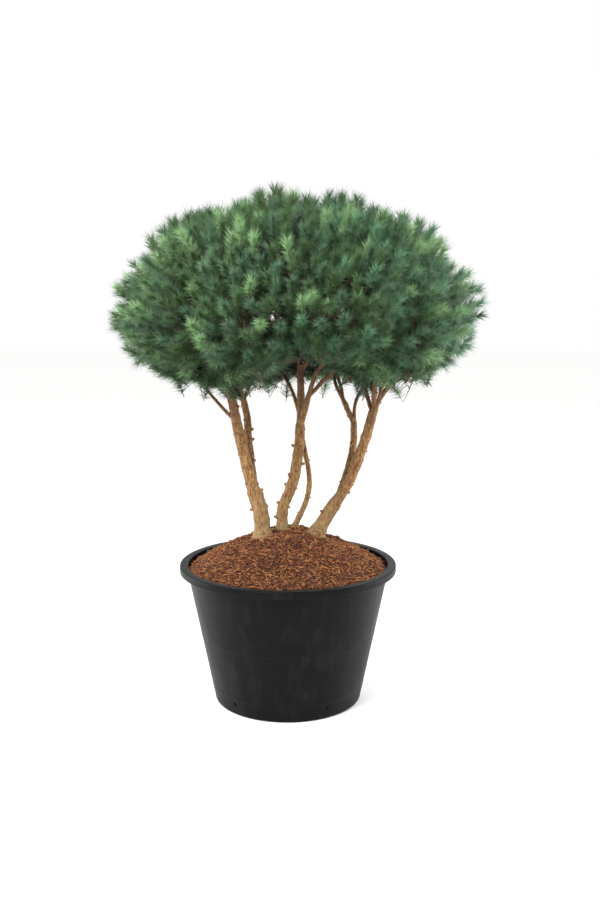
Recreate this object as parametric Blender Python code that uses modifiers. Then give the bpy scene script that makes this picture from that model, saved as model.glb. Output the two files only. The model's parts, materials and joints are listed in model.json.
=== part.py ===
"""Multi-stemmed Scots pine with a domed crown, in a round nursery container.

Metres, +Z up. The origin is the centre of the container's flat underside. -Y is the front.
"""
import math
import random
from collections import namedtuple

import bmesh
import bpy
from mathutils import Matrix, Vector, noise

SEED = 13
GAP = 0.0003

# Container: a turned pot of one moulded wall with a wide rolled rim
POT_HEIGHT = 0.75
RIM_RADIUS = 0.61
RIM_WIDTH = 0.047
RIM_SKIRT = 0.039
RIM_ROUND = 0.007
WALL_TOP_RADIUS = 0.566
WALL_FOOT_RADIUS = 0.405
WALL = 0.006
FOOT_ROUND = 0.016
FLOOR = 0.007
POT_SIDES = 40
DRAIN_COUNT = 5
DRAIN_FIRST = math.radians(228)
DRAIN_RADIUS = 0.012
DRAIN_HEIGHT = 0.062

# Substrate: a filling that lies on floor and wall, heaped round the stems
FILL_EDGE = 0.713
HEAP_TOP = 0.93
HEAP_LUMPS = 0.009
HEAP_PROFILE = ((0.94, 0.09), (0.82, 0.27), (0.55, 0.63), (0.25, 0.93))
FOOT_DEPTH = 0.03

# Crown: an ellipse above its widest level and a flatter curve below it
CROWN_X = 0.045
CROWN_RADIUS_X = 1.07
CROWN_RADIUS_Y = 1.04
CROWN_WIDEST = 2.17
CROWN_TOP = 2.885
CROWN_UNDERSIDE = 1.71
ROUND_ABOVE = 2.0
ROUND_BELOW = 3.0
ARCH_RISE = 0.24
ARCH_ANGLE = math.radians(282)
SAG_DROP = 0.07
SAG_ANGLE = math.radians(105)

# Foliage: each mass keeps to the space nearer to its own centre than to any other
CORE_INSET = 0.14
CORE_REACH_OUT = 0.31
CORE_REACH_IN = 0.18
CORE_GAP = 0.03
SPRAY_GAP = 0.003
SPRAY_TRIES = 48
SPRAYS_PER_MASS = 8
SPRAY_SUNK = 0.015
SPRAY_SHORTEST = 0.09
SPRAY_LONGEST = 0.22
SPRAY_SPREADS = (1.0, 0.8, 0.6, 0.45)
SPRAY_LIFT = 0.15
SPRAY_LEANS = (0.45, 0.2, 0.0)
NORMAL_STEP = 0.01
SHORTEST_EDGE = 0.0001
WHORL_HEIGHTS = (0.20, 0.50)
WHORL_REACHES = (0.48, 0.34)
WHORL_SWEEPS = (0.36, 0.34)
WHORL_WAISTS = (0.10, 0.07)
TWIG_RADIUS = 0.006
LIMB_ROOM = 0.012

# Limbs: radius follows the boughs that a limb still has to carry
TAPER = 1.2
SWELLING = 0.09
FLARE_HEIGHT = 0.075
FLARE_WIDTH = 0.36
STEM_STEP = 0.10
BOUGH_STEP = 0.13
STEM_RINGS = 2
BOUGH_RINGS = 1
TIP_DEPTH = 0.155

Ring = namedtuple("Ring", "name count distance height first")
Mass = namedtuple("Mass", "name centre outward")
Limb = namedtuple("Limb", "name parent leaves through mass tip_radius")

RINGS = (
    Ring("top", 3, 0.22, 2.55, 0),
    Ring("shoulder", 6, 0.59, 2.41, 30),
    Ring("skirt", 10, 0.80, 2.07, 0),
)

# Stems and boughs: parent, height at which the limb leaves it, the places it passes, the mass that it
# carries and its radius where it enters that mass
LIMBS = (
    Limb("stem_left", None, 0, ((-0.137, -0.05, 0.905), (-0.157, -0.055, 1.056), (-0.209, -0.07, 1.227),
         (-0.284, -0.10, 1.54), (-0.344, -0.16, 1.796)), "skirt_7", 0.0135),
    Limb("stem_middle", None, 0, ((-0.032, 0.035, 0.918), (-0.030, 0.035, 1.05), (0.013, 0.03, 1.152),
         (0.044, 0.03, 1.266), (0.068, 0.03, 1.50), (0.062, 0.03, 1.905)), "top_2", 0.0075),
    Limb("stem_thin", None, 0, ((0.028, 0.078, 0.918), (0.074, 0.07, 1.012), (0.110, 0.07, 1.10),
         (0.121, 0.075, 1.22), (0.088, 0.10, 1.404), (0.030, 0.17, 1.68)), "skirt_4", 0.0062),
    Limb("stem_right", None, 0, ((0.159, -0.01, 0.915), (0.242, -0.02, 1.048), (0.349, -0.05, 1.224),
         (0.433, -0.07, 1.452), (0.485, -0.09, 1.63), (0.570, -0.085, 1.76)), "skirt_1", 0.0095),
    Limb("leader_left", "stem_left", 1.16, ((-0.203, -0.025, 1.26), (-0.226, 0.01, 1.45),
         (-0.255, 0.045, 1.66)), "shoulder_4", 0.0085),
    Limb("bough_left_side", "stem_left", 1.555, ((-0.399, -0.12, 1.676),), "skirt_6", 0.006),
    Limb("bough_left_front", "stem_left", 1.76, ((-0.29, -0.30, 1.88),), "skirt_8", 0.006),
    Limb("bough_left_back", "stem_left", 1.80, ((-0.43, 0.0, 1.90),), "skirt_5", 0.006),
    Limb("bough_left_fork", "leader_left", 1.66, ((-0.235, 0.10, 1.80),), "shoulder_3", 0.0065),
    Limb("bough_middle_right", "stem_middle", 1.51, ((0.110, -0.03, 1.672), (0.158, -0.08, 1.823),
         (0.223, -0.17, 1.93)), "skirt_9", 0.0065),
    Limb("bough_middle_side", "bough_middle_right", 1.69, ((0.190, -0.06, 1.775), (0.25, -0.14, 1.89)),
         "shoulder_5", 0.006),
    Limb("bough_middle_front", "stem_middle", 1.85, ((0.110, -0.03, 1.94),), "top_3", 0.006),
    Limb("bough_middle_crown", "stem_middle", 1.82, ((0.150, 0.03, 1.97),), "top_1", 0.0065),
    Limb("bough_right_inner", "stem_right", 1.60, ((0.443, 0.0, 1.714), (0.418, 0.06, 1.84)),
         "shoulder_1", 0.0065),
    Limb("bough_right_upright", "stem_right", 1.63, ((0.484, -0.13, 1.76),), "shoulder_6", 0.0085),
    Limb("bough_right_front", "stem_right", 1.66, ((0.545, -0.14, 1.80),), "skirt_10", 0.006),
    Limb("stem_back", "stem_right", 1.10, ((0.335, 0.035, 1.245), (0.374, 0.07, 1.40), (0.381, 0.11, 1.53),
         (0.410, 0.17, 1.68)), "skirt_2", 0.0062),
    Limb("bough_back_left", "stem_back", 1.52, ((0.325, 0.14, 1.64), (0.27, 0.21, 1.77)), "skirt_3", 0.006),
    Limb("bough_back_inner", "bough_back_left", 1.65, ((0.285, 0.20, 1.79),), "shoulder_2", 0.0055),
)


def rgb(code):
    """Linear colour of an sRGB hex code."""
    parts = [int(code[i:i + 2], 16) / 255 for i in (0, 2, 4)]
    return [c / 12.92 if c <= 0.04045 else ((c + 0.055) / 1.055) ** 2.4 for c in parts]


def material(name, colour, roughness):
    """A plain surface of one colour."""
    made = bpy.data.materials.new(name)
    made.use_nodes = True
    shader = made.node_tree.nodes["Principled BSDF"]
    shader.inputs["Base Color"].default_value = (*rgb(colour), 1)
    shader.inputs["Roughness"].default_value = roughness
    shader.inputs["Metallic"].default_value = 0
    made.diffuse_color = (*rgb(colour), 1)
    return made


def mesh_object(name, bm, collection, surface=None):
    """An object from a finished bmesh."""
    mesh = bpy.data.meshes.new(name)
    bm.to_mesh(mesh)
    bm.free()
    made = bpy.data.objects.new(name, mesh)
    collection.objects.link(made)
    if surface:
        mesh.materials.append(surface)
    return made


def evaluated_mesh(made):
    """The object's mesh with its modifiers applied."""
    bpy.context.view_layer.update()
    graph = bpy.context.evaluated_depsgraph_get()
    return bpy.data.meshes.new_from_object(made.evaluated_get(graph))


def apply_modifiers(made):
    """Keep what the modifiers make and drop them."""
    mesh = evaluated_mesh(made)
    made.modifiers.clear()
    made.data = mesh


def remove(objects):
    for item in list(objects):
        bpy.data.objects.remove(item, do_unlink=True)


def combine(made, tools, operation, solver="EXACT"):
    """Join or cut an object by every object in a collection, then remove those."""
    if not tools.objects:
        return
    boolean = made.modifiers.new(operation.title(), "BOOLEAN")
    boolean.operand_type = "COLLECTION"
    boolean.collection = tools
    boolean.operation = operation
    boolean.solver = solver
    apply_modifiers(made)
    remove(tools.objects)


def lathe(name, profile, collection, surface):
    """A turned solid from a profile of (radius, height) that ends on the axis."""
    bm = bmesh.new()
    points = [bm.verts.new((radius, 0, height)) for radius, height in profile]
    for first, second in zip(points, points[1:]):
        bm.edges.new((first, second))
    made = mesh_object(name, bm, collection, surface)
    screw = made.modifiers.new("Turn", "SCREW")
    screw.steps = screw.render_steps = POT_SIDES
    screw.use_merge_vertices = True
    screw.merge_threshold = 0.0001
    apply_modifiers(made)
    return made


def arc(centre_r, centre_z, radius, start, end, count):
    """Points of a rounded corner in a turned profile, from angle start to angle end in degrees."""
    for i in range(count + 1):
        turn = math.radians(start + (end - start) * i / count)
        yield centre_r + radius * math.cos(turn), centre_z + radius * math.sin(turn)


def wall_radius(height):
    """Outer radius of the pot's tapering wall."""
    share = height / (POT_HEIGHT - RIM_SKIRT)
    return WALL_FOOT_RADIUS + (WALL_TOP_RADIUS - WALL_FOOT_RADIUS) * share


def build_pot(parts, cutters, surface):
    """The container: floor, tapering wall, rolled rim with a skirt, and a ring of drain holes."""
    lip = RIM_RADIUS - RIM_WIDTH
    under = POT_HEIGHT - RIM_SKIRT
    profile = [(0, FLOOR), (wall_radius(FLOOR) - WALL, FLOOR), (wall_radius(under) - WALL, under),
               (lip, POT_HEIGHT - RIM_ROUND), (lip + RIM_ROUND * 0.6, POT_HEIGHT)]
    profile += arc(RIM_RADIUS - RIM_ROUND, POT_HEIGHT - RIM_ROUND, RIM_ROUND, 90, 0, 1)
    profile += [(RIM_RADIUS, under + RIM_ROUND / 2), (RIM_RADIUS - RIM_ROUND / 2, under)]
    profile += [(wall_radius(under) + WALL / 2, under), (wall_radius(under - WALL), under - WALL)]
    profile += arc(wall_radius(FOOT_ROUND) - FOOT_ROUND, FOOT_ROUND, FOOT_ROUND, 0, -90, 2)
    profile += [(0, 0)]
    pot = lathe("pot", profile, parts, surface)
    for i in range(DRAIN_COUNT):
        turn = DRAIN_FIRST + 2 * math.pi * i / DRAIN_COUNT
        bm = bmesh.new()
        bmesh.ops.create_cone(bm, cap_ends=True, segments=6, radius1=DRAIN_RADIUS, radius2=DRAIN_RADIUS,
                              depth=6 * WALL)
        radius = wall_radius(DRAIN_HEIGHT) - WALL / 2
        place = Matrix.Rotation(turn, 4, "Z") @ Matrix.Translation((radius, 0, DRAIN_HEIGHT))
        bm.transform(place @ Matrix.Rotation(math.pi / 2, 4, "Y"))
        mesh_object(f"drain_{i + 1}", bm, cutters)
    combine(pot, cutters, "DIFFERENCE")
    pot.data.shade_smooth()
    pot.data.set_sharp_from_angle(angle=math.radians(30))
    return pot


def build_substrate(parts, cutters, limbs, surface):
    """Shredded bark that fills the pot and is heaped up, with a seat for each stem's foot."""
    edge = wall_radius(FILL_EDGE) - WALL - GAP
    profile = [(0, HEAP_TOP)]
    profile += [(edge * share, FILL_EDGE + (HEAP_TOP - FILL_EDGE) * rise) for share, rise in
                reversed(HEAP_PROFILE)]
    profile += [(edge, FILL_EDGE), (wall_radius(FLOOR + GAP) - WALL - GAP, FLOOR + GAP), (0, FLOOR + GAP)]
    substrate = lathe("substrate", profile, parts, surface)
    rim_level = FILL_EDGE + 0.001
    for vertex in substrate.data.vertices:
        if vertex.co.z > rim_level:
            vertex.co.z += HEAP_LUMPS * noise.noise(vertex.co * 9)
    for name, limb in limbs.items():
        if LIMB_OF[name].parent is None:
            limb.swollen(cutters)
    combine(substrate, cutters, "DIFFERENCE", "MANIFOLD")
    return substrate


def underside(angle):
    """Height of the crown's lower edge: it arches up at the front and sags at the back."""
    arch = max(0, math.cos(angle - ARCH_ANGLE)) ** 6
    sag = max(0, math.cos(angle - SAG_ANGLE)) ** 4
    return CROWN_UNDERSIDE + ARCH_RISE * arch - SAG_DROP * sag


def fullness(point, inset=0.0):
    """1 on the crown's outline drawn in by inset, less inside it, more outside."""
    x = point.x - CROWN_X
    across = math.hypot(x / (CROWN_RADIUS_X - inset), point.y / (CROWN_RADIUS_Y - inset))
    above = point.z > CROWN_WIDEST
    power = ROUND_ABOVE if above else ROUND_BELOW
    limit = CROWN_TOP if above else underside(math.atan2(point.y, x))
    along = abs(point.z - CROWN_WIDEST) / (abs(limit - CROWN_WIDEST) - inset)
    return (across ** power + along ** power) ** (1 / power)


def place_masses():
    """The masses' centres, in rings round the crown's axis."""
    masses = []
    for ring in RINGS:
        for i in range(ring.count):
            turn = math.radians(ring.first) + 2 * math.pi * i / ring.count
            lift = (underside(turn) - CROWN_UNDERSIDE) * 0.6 if ring.name == "skirt" else 0
            centre = Vector((CROWN_X + ring.distance * math.cos(turn), ring.distance * math.sin(turn),
                             ring.height + lift))
            outward = Vector((math.cos(turn) * ring.distance, math.sin(turn) * ring.distance,
                              ring.height + lift - CROWN_WIDEST)).normalized()
            masses.append(Mass(f"{ring.name}_{i + 1}", centre, outward))
    return masses


def in_cell(masses, mine, point, gap):
    """True where the point is nearer to this mass's centre than to any other's, by a gap."""
    for other in masses:
        if other is not mine:
            apart = other.centre - mine.centre
            if (point - mine.centre).dot(apart) > apart.length * (apart.length / 2 - gap):
                return False
    return True


def in_core(masses, mine, point):
    """True inside the dense middle of a mass."""
    away = point - mine.centre
    outwards = away.dot(mine.outward)
    stretch = CORE_REACH_OUT / CORE_REACH_IN if outwards < 0 else 1
    sideways = (away - mine.outward * outwards).length
    if math.hypot(sideways, outwards * stretch) > CORE_REACH_OUT:
        return False
    return fullness(point, CORE_INSET) < 1 and in_cell(masses, mine, point, CORE_GAP)


def core_distance(masses, mine, direction):
    """How far the core reaches from its centre in a direction."""
    near, far = 0.0, CORE_REACH_OUT
    for _ in range(14):
        middle = (near + far) / 2
        if in_core(masses, mine, mine.centre + direction * middle):
            near = middle
        else:
            far = middle
    return near


def smooth_path(stations, step):
    """Points at even steps on a smooth curve through the stations."""
    stations = [Vector(p) for p in stations]
    ends = [stations[0] * 2 - stations[1]] + stations + [stations[-1] * 2 - stations[-2]]
    dense = []
    for a, b, c, d in zip(ends, ends[1:], ends[2:], ends[3:]):
        for i in range(12):
            t = i / 12
            dense.append(0.5 * (2 * b + (c - a) * t + (2 * a - 5 * b + 4 * c - d) * t ** 2
                                + (3 * b - a - 3 * c + d) * t ** 3))
    dense.append(stations[-1])
    lengths = [0.0]
    for first, second in zip(dense, dense[1:]):
        lengths.append(lengths[-1] + (second - first).length)
    count = max(2, round(lengths[-1] / step))
    path, at = [], 0
    for i in range(count + 1):
        target = lengths[-1] * i / count
        while at < len(dense) - 2 and lengths[at + 1] < target:
            at += 1
        share = (target - lengths[at]) / (lengths[at + 1] - lengths[at])
        path.append(dense[at].lerp(dense[at + 1], min(1, share)))
    return path


def at_height(path, height):
    """The place on a path where it passes a height."""
    for first, second in zip(path, path[1:]):
        if first.z <= height <= second.z:
            return first.lerp(second, (height - first.z) / (second.z - first.z))
    return path[-1]


class GrownLimb:
    """A limb's path and radii, and the tubes made from them."""

    def __init__(self, limb, grown, masses):
        self.limb = limb
        stations = list(limb.through)
        if limb.parent:
            stations.insert(0, at_height(grown[limb.parent].path, limb.leaves))
        centre = masses[limb.mass].centre
        back = Vector(stations[-1]) - centre
        stations.append(centre + back.normalized() * TIP_DEPTH)
        self.path = smooth_path(stations, BOUGH_STEP if limb.parent else STEM_STEP)
        if not limb.parent:
            foot = self.path[0]
            self.path.insert(0, foot - Vector((0, 0, FOOT_DEPTH)))
        self.radii = []

    def thicken(self, roots):
        """Radius at each point, from the tip's own growth and the boughs that leave above it."""
        left = [0.0]
        for first, second in zip(reversed(self.path), list(reversed(self.path))[1:]):
            left.append(left[-1] + (first - second).length)
        left.reverse()
        for i, (point, to_tip) in enumerate(zip(self.path, left)):
            area = (self.limb.tip_radius * (1 + TAPER * to_tip)) ** 2
            area += sum(radius ** 2 for height, radius in roots if height > point.z)
            swell = 1 + SWELLING * (i % 3 == 1) * (0 < i < len(self.path) - 1)
            rise = point.z - self.path[0].z
            flare = 1
            if not self.limb.parent and rise < FLARE_HEIGHT:
                flare += FLARE_WIDTH * (1 - rise / FLARE_HEIGHT) ** 2
            self.radii.append(math.sqrt(area) * swell * flare)

    def tube(self, name, collection, surface=None, swell=0.0):
        """A closed tube along the path, thicker and longer at its ends by swell."""
        points = list(self.path)
        points[0] = points[0] - (points[1] - points[0]).normalized() * swell
        points[-1] = points[-1] + (points[-1] - points[-2]).normalized() * swell
        curve = bpy.data.curves.new(name, "CURVE")
        curve.dimensions = "3D"
        curve.bevel_depth = 1
        curve.bevel_resolution = BOUGH_RINGS if self.limb.parent else STEM_RINGS
        curve.use_fill_caps = True
        spline = curve.splines.new("POLY")
        spline.points.add(len(points) - 1)
        for place, point, radius in zip(spline.points, points, self.radii):
            place.co = (*point, 1)
            place.radius = radius + swell
        guide = bpy.data.objects.new(name, curve)
        collection.objects.link(guide)
        mesh = evaluated_mesh(guide)
        bm = bmesh.new()
        bm.from_mesh(mesh)
        bmesh.ops.remove_doubles(bm, verts=bm.verts, dist=0.00001)
        bmesh.ops.triangulate(bm, faces=bm.faces, quad_method="FIXED")
        bm.transform(guide.matrix_world)
        remove([guide])
        return mesh_object(name, bm, collection, surface)

    def swollen(self, collection):
        """A tool that cuts a neighbour clear of this limb."""
        return self.tube(f"clear_{self.limb.name}", collection, swell=GAP)

    def distance(self, point):
        """Distance from a point to the limb's bark."""
        nearest = 10.0
        for i in range(len(self.path) - 1):
            start, end = self.path[i], self.path[i + 1]
            run = end - start
            share = max(0, min(1, (point - start).dot(run) / run.length_squared))
            nearest = min(nearest, (point - start - run * share).length - self.radii[i])
        return nearest


LIMB_OF = {limb.name: limb for limb in LIMBS}


def grow_limbs(masses):
    """Every limb's path, then its radii from the furthest boughs back to the stems."""
    by_name = {mass.name: mass for mass in masses}
    grown = {}
    for limb in LIMBS:
        grown[limb.name] = GrownLimb(limb, grown, by_name)
    roots = {limb.name: [] for limb in LIMBS}
    for limb in reversed(LIMBS):
        grown[limb.name].thicken(roots[limb.name])
        if limb.parent:
            roots[limb.parent].append((limb.leaves, grown[limb.name].radii[0]))
    return grown


def build_limb(grown, name, parts, cutters, surface):
    """One limb, cut clear of the limb that it leaves."""
    made = grown[name].tube(name, parts, surface)
    parent = LIMB_OF[name].parent
    if parent:
        grown[parent].swollen(cutters)
        combine(made, cutters, "DIFFERENCE")
        keep_largest(made)
    made.data.shade_smooth()
    made.data.set_sharp_from_angle(angle=math.radians(50))
    return made


def islands(bm):
    """The separate closed shells of a mesh, as lists of faces."""
    unseen = set(bm.faces)
    shells = []
    while unseen:
        todo = [unseen.pop()]
        shell = []
        while todo:
            face = todo.pop()
            shell.append(face)
            for edge in face.edges:
                for near in edge.link_faces:
                    if near in unseen:
                        unseen.remove(near)
                        todo.append(near)
        shells.append(shell)
    return shells


def close_short_edges(bm):
    """Collapse edges too short to survive an export, where the surface stays closed without them."""
    while True:
        for edge in bm.edges:
            first, second = edge.verts
            if edge.calc_length() < SHORTEST_EDGE:
                near = [{side.other_vert(vertex) for side in vertex.link_edges} for vertex in edge.verts]
                if len(near[0] & near[1]) == 2:
                    bmesh.ops.pointmerge(bm, verts=[first, second], merge_co=first.co.copy())
                    break
        else:
            return


def keep_largest(made):
    """Drop loose scraps and fill sealed hollows: only the shell with the largest box stays."""
    bm = bmesh.new()
    bm.from_mesh(made.data)
    shells = islands(bm)

    def span(shell):
        corners = [vertex.co for face in shell for vertex in face.verts]
        return sum(max(c[i] for c in corners) - min(c[i] for c in corners) for i in range(3))

    shells.sort(key=span)
    scraps = [face for shell in shells[:-1] for face in shell]
    bmesh.ops.delete(bm, geom=scraps, context="FACES")
    bmesh.ops.triangulate(bm, faces=bm.faces)
    close_short_edges(bm)
    bm.to_mesh(made.data)
    bm.free()


def core_mesh(masses, mine):
    """The dense middle of a mass, as a coarse ball pushed out to the mass's own space."""
    bm = bmesh.new()
    bmesh.ops.create_icosphere(bm, subdivisions=2, radius=1)
    for vertex in bm.verts:
        direction = vertex.co.normalized()
        vertex.co = mine.centre + direction * core_distance(masses, mine, direction)
    return bm


def spray_mesh(root, foot, tip, spread, turn):
    """A three-sided twig that carries two whorls of three needle tips and a needle tip at its end."""
    axis = (tip - foot).normalized()
    length = (tip - foot).length
    frame = axis.to_track_quat("Z", "Y").to_matrix()
    twig = (foot - root).normalized().to_track_quat("Z", "Y").to_matrix()

    def around(place, turns, radius, angle):
        return place + turns @ Vector((radius * math.cos(angle), radius * math.sin(angle), 0))

    bm = bmesh.new()
    corner = math.pi / 3
    start = [bm.verts.new(around(root, twig, TWIG_RADIUS, turn + 2 * corner * i)) for i in range(3)]
    whorls = []
    for k in range(2):
        whorl = []
        for i in range(6):
            out = (i + k) % 2
            along = length * (WHORL_HEIGHTS[k] + WHORL_SWEEPS[k] * out)
            radius = length * (WHORL_REACHES[k] * spread if out else WHORL_WAISTS[k])
            whorl.append(bm.verts.new(around(foot + axis * along, frame, radius, turn + corner * i)))
        whorls.append(whorl)
    low, high = whorls
    end = bm.verts.new(tip)
    bm.faces.new(reversed(start))
    for i in range(3):
        here, there = start[i], start[(i + 1) % 3]
        valley, needle, beyond = low[2 * i], low[2 * i + 1], low[(2 * i + 2) % 6]
        bm.faces.new((here, needle, valley))
        bm.faces.new((here, there, needle))
        bm.faces.new((there, beyond, needle))
    for i in range(6):
        j = (i + 1) % 6
        fold = (low[i], high[j]) if i % 2 == 0 else (low[j], high[i])
        bm.faces.new((low[i], low[j], fold[1]))
        bm.faces.new((fold[0], high[j], high[i]))
        bm.faces.new((high[i], high[j], end))
    bmesh.ops.recalc_face_normals(bm, faces=bm.faces)
    return bm


def spray_directions(rng):
    """Even directions over a sphere, turned at random."""
    golden = math.pi * (3 - math.sqrt(5))
    offset = rng.random() * 2 * math.pi
    for i in range(SPRAY_TRIES):
        height = 1 - 2 * (i + 0.5) / SPRAY_TRIES
        level = math.sqrt(1 - height ** 2)
        yield Vector((level * math.cos(golden * i + offset), level * math.sin(golden * i + offset), height))


def outline_distance(start, axis):
    """Distance from a point to the crown's outline along an axis."""
    near, far = 0.0, SPRAY_LONGEST * 2
    for _ in range(14):
        middle = (near + far) / 2
        if fullness(start + axis * middle) < 1:
            near = middle
        else:
            far = middle
    return near


def outline_normal(point):
    """The way out of the crown from a point, square to its outline."""
    here = fullness(point)
    steps = (Vector((NORMAL_STEP, 0, 0)), Vector((0, NORMAL_STEP, 0)), Vector((0, 0, NORMAL_STEP)))
    return Vector([fullness(point + step) - here for step in steps]).normalized()


def fits(masses, mine, corners, grown):
    """True where a spray stays in its mass's space, inside the outline and off the limbs."""
    for corner in corners:
        if fullness(corner) > 1.002 or not in_cell(masses, mine, corner, SPRAY_GAP):
            return False
        if any(limb.distance(corner) < LIMB_ROOM for limb in grown.values()):
            return False
    return True


def spray(masses, mine, direction, root, grown, rng):
    """A spray that stands on the core in a direction, as wide as its room allows, or None."""
    foot = mine.centre + direction * (core_distance(masses, mine, direction) - SPRAY_SUNK)
    normal = outline_normal(foot)
    share, turn = rng.uniform(0.93, 1.0), rng.random() * math.pi
    if normal.dot(direction) < 0:
        return None
    for lean in SPRAY_LEANS:
        axis = (normal.lerp(direction, lean) + Vector((0, 0, SPRAY_LIFT))).normalized()
        length = min(SPRAY_LONGEST, outline_distance(foot, axis) * share)
        if length < SPRAY_SHORTEST:
            continue
        for spread in SPRAY_SPREADS:
            bm = spray_mesh(root, foot, foot + axis * length, spread, turn)
            if fits(masses, mine, [vertex.co for vertex in list(bm.verts)[3:]], grown):
                return foot + axis * length, bm
            bm.free()
    return None


def sprays(masses, mine, stem, grown, rng):
    """Sprays of needles on twigs from the mass's stem, chosen for the widest spacing of their tips."""
    found = []
    for direction in spray_directions(rng):
        root = stem[0].lerp(stem[1], rng.uniform(0.5, 0.95))
        made = spray(masses, mine, direction, root, grown, rng)
        if made:
            found.append(made)
    chosen = [max(found, key=lambda item: fullness(item[0]))]
    while len(chosen) < min(SPRAYS_PER_MASS, len(found)):
        rest = [item for item in found if item not in chosen]
        chosen.append(max(rest, key=lambda item: min((item[0] - other[0]).length for other in chosen)))
    for item in found:
        if item not in chosen:
            item[1].free()
    return [bm for _, bm in chosen]


def build_mass(masses, index, grown, parts, cutters, surface):
    """One mass of foliage: a stem, its twigs with their sprays and the dense core that holds them."""
    mine = masses[index]
    rng = random.Random(SEED + index)
    bearer = next(limb for limb in grown.values() if limb.limb.mass == mine.name)
    tip = bearer.path[-1]
    made = mesh_object(f"foliage_{mine.name}", core_mesh(masses, mine), parts, surface)
    stem = (tip, mine.centre)
    bm = bmesh.new()
    length = (stem[1] - stem[0]).length + TWIG_RADIUS
    bmesh.ops.create_cone(bm, cap_ends=True, segments=5, radius1=bearer.radii[-1], radius2=TWIG_RADIUS,
                          depth=length)
    turn = (stem[1] - stem[0]).to_track_quat("Z", "Y").to_matrix().to_4x4()
    bm.transform(Matrix.Translation(stem[0].lerp(stem[1], 0.5)) @ turn)
    mesh_object("stem", bm, cutters)
    for needles in sprays(masses, mine, stem, grown, rng):
        mesh_object("spray", needles, cutters)
    combine(made, cutters, "UNION", "MANIFOLD")
    for limb in grown.values():
        if any((point - mine.centre).length < CORE_REACH_OUT + STEM_STEP for point in limb.path):
            limb.swollen(cutters)
    combine(made, cutters, "DIFFERENCE", "MANIFOLD")
    keep_largest(made)
    return made


def main():
    remove(bpy.data.objects)
    parts = bpy.data.collections.new("Scots pine in a container")
    cutters = bpy.data.collections.new("cutters")
    for collection in (parts, cutters):
        bpy.context.scene.collection.children.link(collection)
    plastic = material("black polypropylene", "24282A", 0.5)
    bark_chips = material("shredded bark", "6B3F28", 0.95)
    bark = material("orange pine bark", "A9713F", 0.85)
    needles = material("blue-green needles", "55766A", 0.7)
    masses = place_masses()
    grown = grow_limbs(masses)
    build_pot(parts, cutters, plastic)
    build_substrate(parts, cutters, grown, bark_chips)
    for name in grown:
        build_limb(grown, name, parts, cutters, bark)
    for index in range(len(masses)):
        build_mass(masses, index, grown, parts, cutters, needles)


main()
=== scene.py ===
"""Looks of a multi-stemmed Scots pine in a nursery container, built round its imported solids."""

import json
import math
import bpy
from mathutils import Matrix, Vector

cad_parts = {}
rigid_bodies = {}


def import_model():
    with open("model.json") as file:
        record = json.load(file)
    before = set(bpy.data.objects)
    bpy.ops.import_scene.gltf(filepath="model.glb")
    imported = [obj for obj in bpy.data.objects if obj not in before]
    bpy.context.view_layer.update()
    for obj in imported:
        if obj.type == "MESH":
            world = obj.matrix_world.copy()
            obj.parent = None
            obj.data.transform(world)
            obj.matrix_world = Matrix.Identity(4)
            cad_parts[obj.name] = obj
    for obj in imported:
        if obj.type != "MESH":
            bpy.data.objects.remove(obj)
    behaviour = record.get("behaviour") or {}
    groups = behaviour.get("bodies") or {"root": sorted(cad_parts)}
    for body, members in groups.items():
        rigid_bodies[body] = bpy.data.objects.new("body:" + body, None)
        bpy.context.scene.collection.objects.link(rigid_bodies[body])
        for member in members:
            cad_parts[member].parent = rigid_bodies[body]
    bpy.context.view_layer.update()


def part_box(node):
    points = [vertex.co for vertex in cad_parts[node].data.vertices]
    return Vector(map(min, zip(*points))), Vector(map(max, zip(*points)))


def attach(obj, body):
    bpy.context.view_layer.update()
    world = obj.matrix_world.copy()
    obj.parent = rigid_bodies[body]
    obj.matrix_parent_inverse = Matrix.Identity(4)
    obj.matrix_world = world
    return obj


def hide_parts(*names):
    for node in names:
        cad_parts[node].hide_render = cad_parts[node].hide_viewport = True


bl_info = {
    "name": "Scots Pine in a Container",
    "version": (1, 0, 0),
    "blender": (4, 5, 0),
    "location": "3D View > Sidebar > Pine",
    "description": "Container, shredded bark, stems with bark relief, twigs and needles of a Scots pine",
    "category": "Add Mesh",
}

from collections import namedtuple

import bmesh
import bpy
import numpy as np
from bpy.props import FloatProperty, IntProperty, PointerProperty, StringProperty
from mathutils import Matrix, Vector, noise

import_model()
POT_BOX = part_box("pot")

SEED = 11
UP = Vector((0, 0, 1))

# Container, as the solid pot has it
POT_HEIGHT = POT_BOX[1][2]
RIM_RADIUS = POT_BOX[1][0]
RIM_WIDTH = 0.047
RIM_SKIRT = 0.039
RIM_ROUND = 0.007
WALL_TOP_RADIUS = 0.566
WALL_FOOT_RADIUS = 0.405
WALL = 0.006
FOOT_ROUND = 0.016
FLOOR = 0.007
SEAM_HEIGHTS = (0.09, 0.37)
SEAM_HALF = 0.0025
SEAM_PROUD = 0.0011
DRAIN_COUNT = 5
DRAIN_FIRST = math.radians(228)
DRAIN_RADIUS = 0.012
DRAIN_HEIGHT = 0.062

# Substrate heap: share of the radius, share of the rise above the edge
FILL_EDGE = 0.713
HEAP_TOP = 0.93
HEAP_PROFILE = ((1.0, 0.0), (0.94, 0.09), (0.82, 0.27), (0.55, 0.63), (0.25, 0.93), (0.0, 1.0))
FOOT_DEPTH = 0.03

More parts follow.
